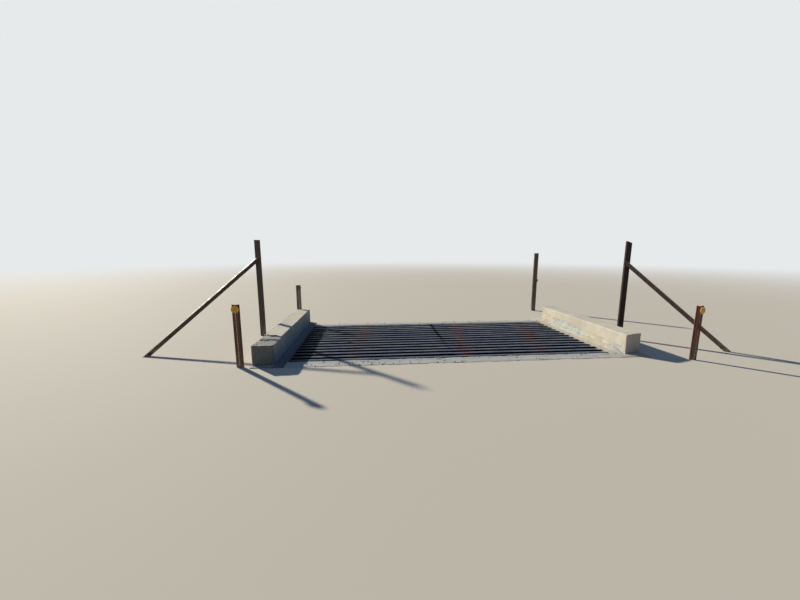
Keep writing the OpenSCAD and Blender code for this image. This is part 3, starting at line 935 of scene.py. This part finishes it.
def bent_sheet(outline, thickness, bend, height, holes=None):
    """A folded steel plate standing upright on z = 0, with a row of round holes up the middle of one flat.

    holes is (number of the flat, diameter, pitch, first, last).
    """
    line = fold_line(outline, bend)
    along = np.concatenate([[0], np.cumsum(np.linalg.norm(np.diff(line, axis=0), axis=1))])
    tangent = np.gradient(line, axis=0)
    tangent = tangent / np.linalg.norm(tangent, axis=1)[:, None]
    out = np.stack([tangent[:, 1], -tangent[:, 0]], axis=-1)
    columns, rows = list(along), [*np.arange(0, height, SHEET_ROW), height]
    hole_cells = {}
    if holes:
        flat, diameter, pitch, first, last = holes
        left = flat * (FOLD_STEPS + 1)
        middle, half = (along[left] + along[left + 1]) / 2, diameter * 0.75
        heights = [first + k * pitch for k in range(int((last - first) / pitch))]
        rows = [r for r in rows if not first - half <= r <= heights[-1] + half + 0.001]
        rows = sorted(rows + [z + step for z in heights for step in (-half, half)])
        columns = sorted(columns + [middle - half, middle + half])
        hole_cells = {(columns.index(middle - half), rows.index(z - half)): z for z in heights}
    points, faces, grid = [], [], {}

    def put_point(u, v, side):
        """Adds the point at u along the line and v up, on the front (1) or the back (-1)."""
        at, away = (np.array([np.interp(u, along, path[:, k]) for k in range(2)]) for path in (line, out))
        points.append((*(at + away / np.linalg.norm(away) * side * thickness / 2), v))
        return len(points) - 1

    for side, (j, v), (i, u) in itertools.product((1, -1), enumerate(rows), enumerate(columns)):
        grid[side, i, j] = put_point(u, v, side)
    last_i, last_j = len(columns) - 1, len(rows) - 1
    turns = np.radians(225 + 360 / HOLE_SIDES * np.arange(HOLE_SIDES))
    quarter = HOLE_SIDES // 4
    for j, i in itertools.product(range(last_j), range(last_i)):
        rings = []
        for side in (1, -1):
            cell = [grid[side, i + a, j + b] for a, b in ((0, 0), (1, 0), (1, 1), (0, 1))]
            around = [cell]
            if (i, j) in hole_cells:
                edge = np.stack([np.cos(turns), np.sin(turns)], axis=-1) * diameter / 2
                ring = [put_point(*(edge[k] + (middle, hole_cells[i, j])), side) for k in range(HOLE_SIDES)]
                around = []
                for k in range(4):
                    arc = [ring[(quarter * k + s) % HOLE_SIDES] for s in range(quarter, -1, -1)]
                    around.append([cell[k], cell[(k + 1) % 4], *arc])
                rings.append(ring)
            faces += around if side > 0 else flipped(around)
        if rings:
            front, back = rings
            faces += zip(front, front[1:] + front[:1], back[1:] + back[:1], back)
    edges = [e for i in range(last_i) for e in (((i + 1, 0), (i, 0)), ((i, last_j), (i + 1, last_j)))]
    edges += [e for j in range(last_j) for e in (((0, j), (0, j + 1)), ((last_i, j + 1), (last_i, j)))]
    faces += [(grid[1, *a], grid[1, *b], grid[-1, *b], grid[-1, *a]) for a, b in edges]
    return np.array(points), faces


def channel_post(node, material, seed, holes=None, slant=0.0):
    """A wing post or end post: a folded channel with its web towards -Y, a little out of true."""
    low, high = corners(node)
    middle = (low + high) / 2
    half_w, half_d = (high - low)[:2] / 2
    skin_x, skin_y = half_w - POST_SHEET / 2, half_d - POST_SHEET / 2
    outline = [(-skin_x, half_d), (-skin_x, -skin_y), (skin_x, -skin_y), (skin_x, half_d)]
    points, faces = bent_sheet(outline, POST_SHEET, POST_FOLD, high[2], holes)
    z = points[:, 2]
    top = smooth(z, high[2] - 0.02, high[2])
    points[:, 2] -= top * slant * (points[:, 0] / half_w + 1) / 2
    line = np.outer(z, (0, 0, 1)) + (0, seed, 0)
    points[:, 0] += middle[0] + POST_SWAY * noise(line, 0.7, seed)
    points[:, 1] += middle[1] + POST_SWAY * noise(line, 0.5, seed + 1)
    make(node + "_steel", points, faces, material, "post_steel", [node], shade=35)


def turned(points, degrees):
    """Points turned about the upright axis."""
    return np.asarray(points) @ np.array(Matrix.Rotation(math.radians(degrees), 3, "Z")).T


def marker_post(node, turn, material):
    """A perforated flanged channel, its web towards the traffic. Returns the place of its upright axis."""
    low, high = corners(node)
    skin_y = marker_depth / 2 - MARKER_SHEET / 2
    half = [(MARKER_WEB / 2, -skin_y), (marker_width / 2 - MARKER_LIP, skin_y), (marker_width / 2, skin_y)]
    outline = [(-x, y) for x, y in reversed(half)] + half
    holes = (2, MARKER_HOLE, MARKER_HOLE_PITCH, road_z + MARKER_HOLES_ABOVE, high[2] - MARKER_HOLES_BELOW)
    points, faces = bent_sheet(outline, MARKER_SHEET, MARKER_FOLD, high[2], holes)
    points = turned(points, turn)
    axis = (low + high - points.min(0) - points.max(0)) / 2 * (1, 1, 0)
    make(node + "_steel", points + axis, faces, material, "marker_steel", [node], shade=35)
    return axis


def lathed(profile, sides):
    """A shape turned on a lathe about the Y axis, from points (radius, y)."""
    points, faces = [], []
    count = len(profile)
    for k in range(sides):
        turn = 2 * math.pi * k / sides
        points += [(r * math.cos(turn), y, r * math.sin(turn)) for r, y in profile]
        a, b = k * count, (k + 1) % sides * count
        faces += [(a + i, b + i, b + i + 1, a + i + 1) for i in range(count - 1)]
    return np.array(points), faces


def reflector(marker, axis, turn, bend, reach, amber, steel):
    """A round reflector: rim, stepped rings, a rivet, and a bolt where it stands out from its marker.

    It sits reach in front of the marker's web and is bent to one side by bend degrees.
    """
    node = f"{marker}_reflector"
    low, high = corners(node)
    radius, height = (high[2] - low[2]) / 2, (high[2] + low[2]) / 2

    def fit(name, profile, sides, bend, reach, *look, **options):
        """A turned shape in front of the web, with the points merged that lie in the same place."""
        points, faces = lathed(profile, sides)
        points = turned(points, bend) - (0, marker_depth / 2 + reach, 0)
        points = turned(points, turn) + axis + (0, 0, height)
        piece = make(f"{node}_{name}", points, faces, *look, **options)
        piece.modifiers.new("merge", "WELD").merge_threshold = MERGE_WITHIN

    lens = [(radius * r, -REFLECTOR_THICK * h) for r, h in LENS_OUTLINE]
    fit("lens", lens, LENS_SIDES, bend, reach, amber, "reflector", [node], shade=25)
    rivet = [(r, -RIVET_BASE - h) for r, h in RIVET_OUTLINE]
    fit("rivet", rivet, RIVET_SIDES, bend, reach, steel, "marker_steel", shade=30)
    if reach:
        head, end = reach + BOLT_HEAD_FROM, reach + BOLT_HEAD_TO
        bolt = [(0, 0), (BOLT_RADIUS, 0), (BOLT_RADIUS, -head), (BOLT_HEAD, -head), (BOLT_HEAD, -end)]
        fit("bolt", bolt, BOLT_SIDES, 0, 0, steel, "marker_steel", shade=30)


def angle_ring():
    """Closed outline of a brace's angle: heel at (leg / 2, 0), one leg level and one hanging from it."""
    half = BRACE_LEG / 2
    ring = [(-half, -BRACE_TOE), (-half + BRACE_TOE * 0.3, -BRACE_TOE * 0.3), (-half + BRACE_TOE, 0)]
    ring += [(half - BRACE_HEEL, 0), (half - BRACE_HEEL / 3, -BRACE_HEEL / 3), (half, -BRACE_HEEL)]
    ring += [(half, -BRACE_LEG + BRACE_TOE), (half - BRACE_TOE * 0.3, -BRACE_LEG + BRACE_TOE * 0.3)]
    ring += [(half - BRACE_TOE, -BRACE_LEG), (half - BRACE_SHEET, -BRACE_LEG)]
    x, y = half - BRACE_SHEET - BRACE_FILLET, -BRACE_SHEET - BRACE_FILLET
    for a in np.radians([0, 22.5, 45, 67.5, 90]):
        ring.append((x + BRACE_FILLET * math.cos(a), y + BRACE_FILLET * math.sin(a)))
    ring.append((-half, -BRACE_SHEET))
    return np.array(ring)


def slide(points, axis, beyond, limit, line):
    """Moves the points that are beyond a limit on an axis back to it along a line."""
    points[beyond] += line * ((limit - points[beyond, axis]) / line[axis])[:, None]


def brace(side, material):
    """A slightly bent angle running down from its post, with rounded heel and toes and a filleted corner.

    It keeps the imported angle's line and is rolled a little about it, its top leg towards the near side.
    """
    node = f"{side}_brace"
    sign = -1 if side == LEFT else 1
    low, high = corners(node)
    post_low, post_high = corners(f"{side}_post")
    top = np.array([(post_low[0] + post_high[0]) / 2, post_low[1], high[2]])
    turn = math.radians(BRACE_TURN)
    inside, ahead = BRACE_LEG / 2 * math.sin(turn), BRACE_LEG / 2 * math.cos(turn)
    foot = np.array([low[0] + inside if side == LEFT else high[0] - inside, low[1] + ahead, 0.0])
    length = np.linalg.norm(top - foot)
    line = (top - foot) / length
    over = np.array([0, 0, 1.0]) - line[2] * line
    over = over / np.linalg.norm(over)
    near = -sign * np.cross(line, over)
    roll = math.radians(BRACE_ROLL[side])
    over, near = math.cos(roll) * over + math.sin(roll) * near, math.cos(roll) * near - math.sin(roll) * over
    ring = angle_ring()
    stations = np.linspace(-BRACE_PAST, length + BRACE_PAST, BRACE_STATIONS)
    sway = BRACE_SWAY * noise(np.outer(stations, (1, 0, 0)), 1.1, 17 + sign)
    points = []
    for s, bend in zip(stations, sway):
        centre = foot + line * s + near * bend
        points.append(centre + ring[:, :1] * near + ring[:, 1:] * over)
    points = np.concatenate(points)
    lower, upper = np.split(points, 2)
    slide(lower, 2, lower[:, 2] < 0, 0, line)
    post_face = post_low[1] - BRACE_LAP
    slide(upper, 1, upper[:, 1] > post_face, post_face, line)
    faces = capped_skin(len(stations), len(ring))
    if side == RIGHT:
        faces = flipped(faces)
    make(node + "_steel", points, faces, material, "post_steel", [node], shade=35)


# Stage, light and camera

PALE_FLOOR = (0.54, 0.50, 0.42)
BOUNCE_FLOOR = (0.56, 0.46, 0.32)
BACKGROUND = (0.80, 0.82, 0.83)
FLOOR_REACH = 400.0
FLOOR_FADE = (9.0, 40.0)
FLOOR_DROP = 0.006
FLOOR_LAP = 0.04
PIT_DROP = 0.003

SUN_TOWARDS = (-0.645, 0.628, 0.437)
SUN_STRENGTH = 6.0
SUN_ANGLE = 2.0
SUN_COLOUR = (1.0, 0.93, 0.80)
SKY_LIGHT = (0.28, 0.52, 1.0)
SKY_STRENGTH = 0.25

CAMERA_FROM_DECK = (-1.2333, -5.5942, 1.5954)
CAMERA_YAW = 4.925
CAMERA_PITCH = 9.003
CAMERA_LENS = 14.35
CAMERA_SENSOR = 36
CAMERA_FAR = 1000


def seen_or_mirrored(tree):
    """1 for what the camera sees directly, by gloss or through glass, and 0 for light that bounces."""
    rays = tree.nodes.new("ShaderNodeLightPath").outputs
    seen = rays["Is Camera Ray"]
    for name in ("Is Glossy Ray", "Is Transmission Ray"):
        seen = new_node(tree, "Math", {0: seen, 1: rays[name]}, operation="MAXIMUM")
    return seen


def floor_material():
    """Matt pale floor that gives less bounce light than it shows, and fades into the backdrop far away."""
    m = Finish("studio_floor", specular=0.2)
    seen = seen_or_mirrored(m.tree)
    m.finished(m.mix(seen, BOUNCE_FLOOR, PALE_FLOOR), 0.9)
    backdrop = m.node("Emission", {"Color": BACKGROUND})
    far = m.times(seen, m.fade(m.distance(deck_x, deck_y), *FLOOR_FADE))
    both = m.node("MixShader", {0: far, 1: m.shader.outputs[0], 2: backdrop})
    put(m.tree, m.tree.nodes["Material Output"].inputs["Surface"], both)
    return m.material


def pit_material():
    """A dark matt soil, darkened further as painted shade, so that the pit looks deep."""
    m = Finish("pit_soil_painted_shade", specular=0.2)
    return m.finished(m.mix(m.noise(0.2), (0.05, 0.042, 0.034), (0.09, 0.075, 0.06)), 0.95)


def rectangle(low, high, z):
    """The corners of a level rectangle."""
    return [(low[0], low[1], z), (high[0], low[1], z), (high[0], high[1], z), (low[0], high[1], z)]


def stage_sheet(name, points, faces, material):
    mesh = bpy.data.meshes.new(name)
    mesh.from_pydata(points, [], faces)
    mesh.materials.append(material)
    return add(name, mesh)


def stage_floor():
    """A plain floor just below the road's level, open where the vault is, and a dark soil sheet of painted
    shade under the pit.
    """
    inside_low, inside_high = vault_low + FLOOR_LAP, vault_high - FLOOR_LAP
    middle = np.array([deck_x, deck_y])
    level = road_z - FLOOR_DROP
    points = rectangle(inside_low, inside_high, level)
    points += rectangle(middle - FLOOR_REACH, middle + FLOOR_REACH, level)
    faces = [(k, 4 + k, 4 + (k + 1) % 4, (k + 1) % 4) for k in range(4)]
    floor = stage_sheet("stage_floor", points, faces, floor_material())
    pit_points = rectangle(inside_low, inside_high, -PIT_DROP)
    bottom = stage_sheet("stage_pit", pit_points, [(0, 1, 2, 3)], pit_material())


def light():
    """A low sun from beyond the left side and a dim blue sky, before a pale backdrop."""
    lamp = bpy.data.lights.new("sun", "SUN")
    lamp.energy = SUN_STRENGTH
    lamp.angle = math.radians(SUN_ANGLE)
    lamp.color = SUN_COLOUR
    sun = add("sun", lamp)
    sun.rotation_mode = "QUATERNION"
    sun.rotation_quaternion = Vector(SUN_TOWARDS).to_track_quat("Z", "Y")
    world = bpy.data.worlds.new("studio")
    bpy.context.scene.world = world
    world.use_nodes = True
    tree = world.node_tree
    sky = new_node(tree, "Background", {"Color": SKY_LIGHT, "Strength": SKY_STRENGTH})
    backdrop = new_node(tree, "Background", {"Color": BACKGROUND})
    both = new_node(tree, "MixShader", {0: seen_or_mirrored(tree), 1: sky, 2: backdrop})
    put(tree, tree.nodes["World Output"].inputs["Surface"], both)


def camera():
    """The photograph's viewing place: head height on the near side, left of the middle, with a wide lens."""
    data = bpy.data.cameras.new("camera")
    data.sensor_width = CAMERA_SENSOR
    data.lens = CAMERA_LENS
    data.clip_end = CAMERA_FAR
    eye = add("camera", data)
    eye.location = Vector((deck_x, deck_y, road_z)) + Vector(CAMERA_FROM_DECK)
    eye.rotation_euler = (math.radians(90 - CAMERA_PITCH), 0, -math.radians(CAMERA_YAW))
    bpy.context.scene.camera = eye
    bpy.context.scene.view_settings.view_transform = "Standard"


# The whole object

def dress(node, material):
    """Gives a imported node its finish."""
    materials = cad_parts[node].data.materials
    materials.clear()
    materials.append(material)


def build_sides():
    """Each panel with its rusty beams, curb, side wall and loose stones. The left side's curb, side wall and
    stones are shaded copies, with painted shade in their colours.
    """
    bars, beams = bar_steel(), beam_steel()
    # The left curb's blue grime colour, the dark left wall and the dark left stones are painted shade
    curbs = {
        LEFT: concrete("dull_concrete_painted_shade", (0.50, 0.475, 0.39), (0.14, 0.38, 0.74)),
        RIGHT: concrete("cream_concrete", (0.57, 0.53, 0.43)),
    }
    walls = {
        LEFT: concrete("painted_shade_concrete", (0.115, 0.155, 0.215), (0.10, 0.17, 0.24)),
        RIGHT: concrete("dusty_concrete", (0.40, 0.37, 0.30)),
    }
    stones = {
        LEFT: loose_stone("painted_shade_stone", (0.06, 0.06, 0.06), (0.15, 0.14, 0.13)),
        RIGHT: loose_stone("cream_stone", (0.44, 0.41, 0.34), (0.60, 0.55, 0.45)),
    }
    for side, count in LEDGE_STONES.items():
        deck_bars(side, bars)
        deck_welds(side, beams)
        dress(f"{side}_panel_ties", beams)
        for k in range(1, STRINGERS + 1):
            dress(f"{side}_stringer_{k}", beams)
        curb(side, curbs[side])
        ledge = side_wall(side, walls[side])
        wall_low, wall_high = corners(f"{side}_side_wall")
        curb_low, curb_high = corners(f"{side}_curb")
        from_x, to_x = (curb_high[0], wall_high[0]) if side == LEFT else (wall_low[0], curb_low[0])
        margin_x, margin_y = LEDGE_MARGIN
        area = ((from_x + margin_x, wall_low[1] + margin_y), (to_x - margin_x, vault_high[1] - margin_y))
        loose_stones(f"{side}_ledge_gravel", ledge, area, count, LEDGE_STONE_SIZES, 200 + count, stones[side])


def build_braces():
    """Both braces. What faces up carries a painted highlight."""
    left = rusty_steel(
        "left_brace_steel", (0.035, 0.025, 0.022), (0.085, 0.055, 0.040), (0.13, 0.10, 0.08),
        painted_highlight=(0.36, 0.29, 0.24), specular=0.3,
    )
    right = rusty_steel(
        "right_brace_steel", (0.085, 0.058, 0.046), (0.175, 0.110, 0.078), (0.24, 0.17, 0.13),
        painted_highlight=(0.26, 0.18, 0.14),
    )
    brace(LEFT, left)
    brace(RIGHT, right)


def build_ends():
    """Both abutments with their loose stones."""
    grey = concrete("grey_concrete", (0.33, 0.36, 0.372))
    pale = loose_stone("loose_stone", (0.33, 0.32, 0.29), (0.56, 0.52, 0.44))
    for end, count in STRIP_STONES.items():
        strip = abutment(end, grey)
        low, high = corners(f"{end}_abutment")
        area = ((low[0], low[1] + STRIP_MARGIN), (high[0], high[1] - STRIP_MARGIN))
        loose_stones(f"{end}_strip_gravel", strip, area, count, STRIP_STONE_SIZES, 300 + count, pale)


def build_posts():
    """Wing posts and the far right post."""
    left = rusty_steel(
        "olive_post_steel", (0.025, 0.020, 0.018), (0.056, 0.044, 0.031), (0.080, 0.072, 0.052)
    )
    right = rusty_steel(
        "dark_post_steel", (0.022, 0.015, 0.013), (0.042, 0.025, 0.020), (0.055, 0.040, 0.032), specular=0.15
    )
    end = rusty_steel("end_post_steel", (0.055, 0.035, 0.024), (0.12, 0.074, 0.046), (0.15, 0.115, 0.075))
    channel_post("left_post", left, 3)
    top = corners("right_post")[1][2]
    holes = (0, POST_HOLE, POST_HOLE_PITCH, road_z + POST_HOLES_ABOVE, top - POST_HOLES_BELOW)
    channel_post("right_post", right, 8, holes, POST_SLANT)
    channel_post("far_right_post", end, 13)
    dress("far_right_clip", end)


def build_markers():
    """Markers with their reflectors. The near ones are redder than the far one."""
    # The red markers' sideways faces are painted paler as painted sunlight
    red = rusty_steel(
        "red_marker_steel", (0.065, 0.025, 0.016), (0.165, 0.062, 0.036), (0.22, 0.13, 0.09),
        painted_lit_flange=(0.30, 0.16, 0.12), specular=0.3,
    )
    grey = rusty_steel("grey_marker_steel", (0.140, 0.112, 0.078), (0.27, 0.215, 0.148), (0.40, 0.335, 0.245))
    amber = amber_plastic()
    for name, (turn, bend, reach) in MARKERS.items():
        axis = marker_post(f"{name}_marker_post", turn, grey if name == "far_left" else red)
        reflector(name, axis, turn, bend, reach, amber, red)


build_sides()
build_braces()
build_ends()
build_posts()
build_markers()
stage_floor()
light()
camera()
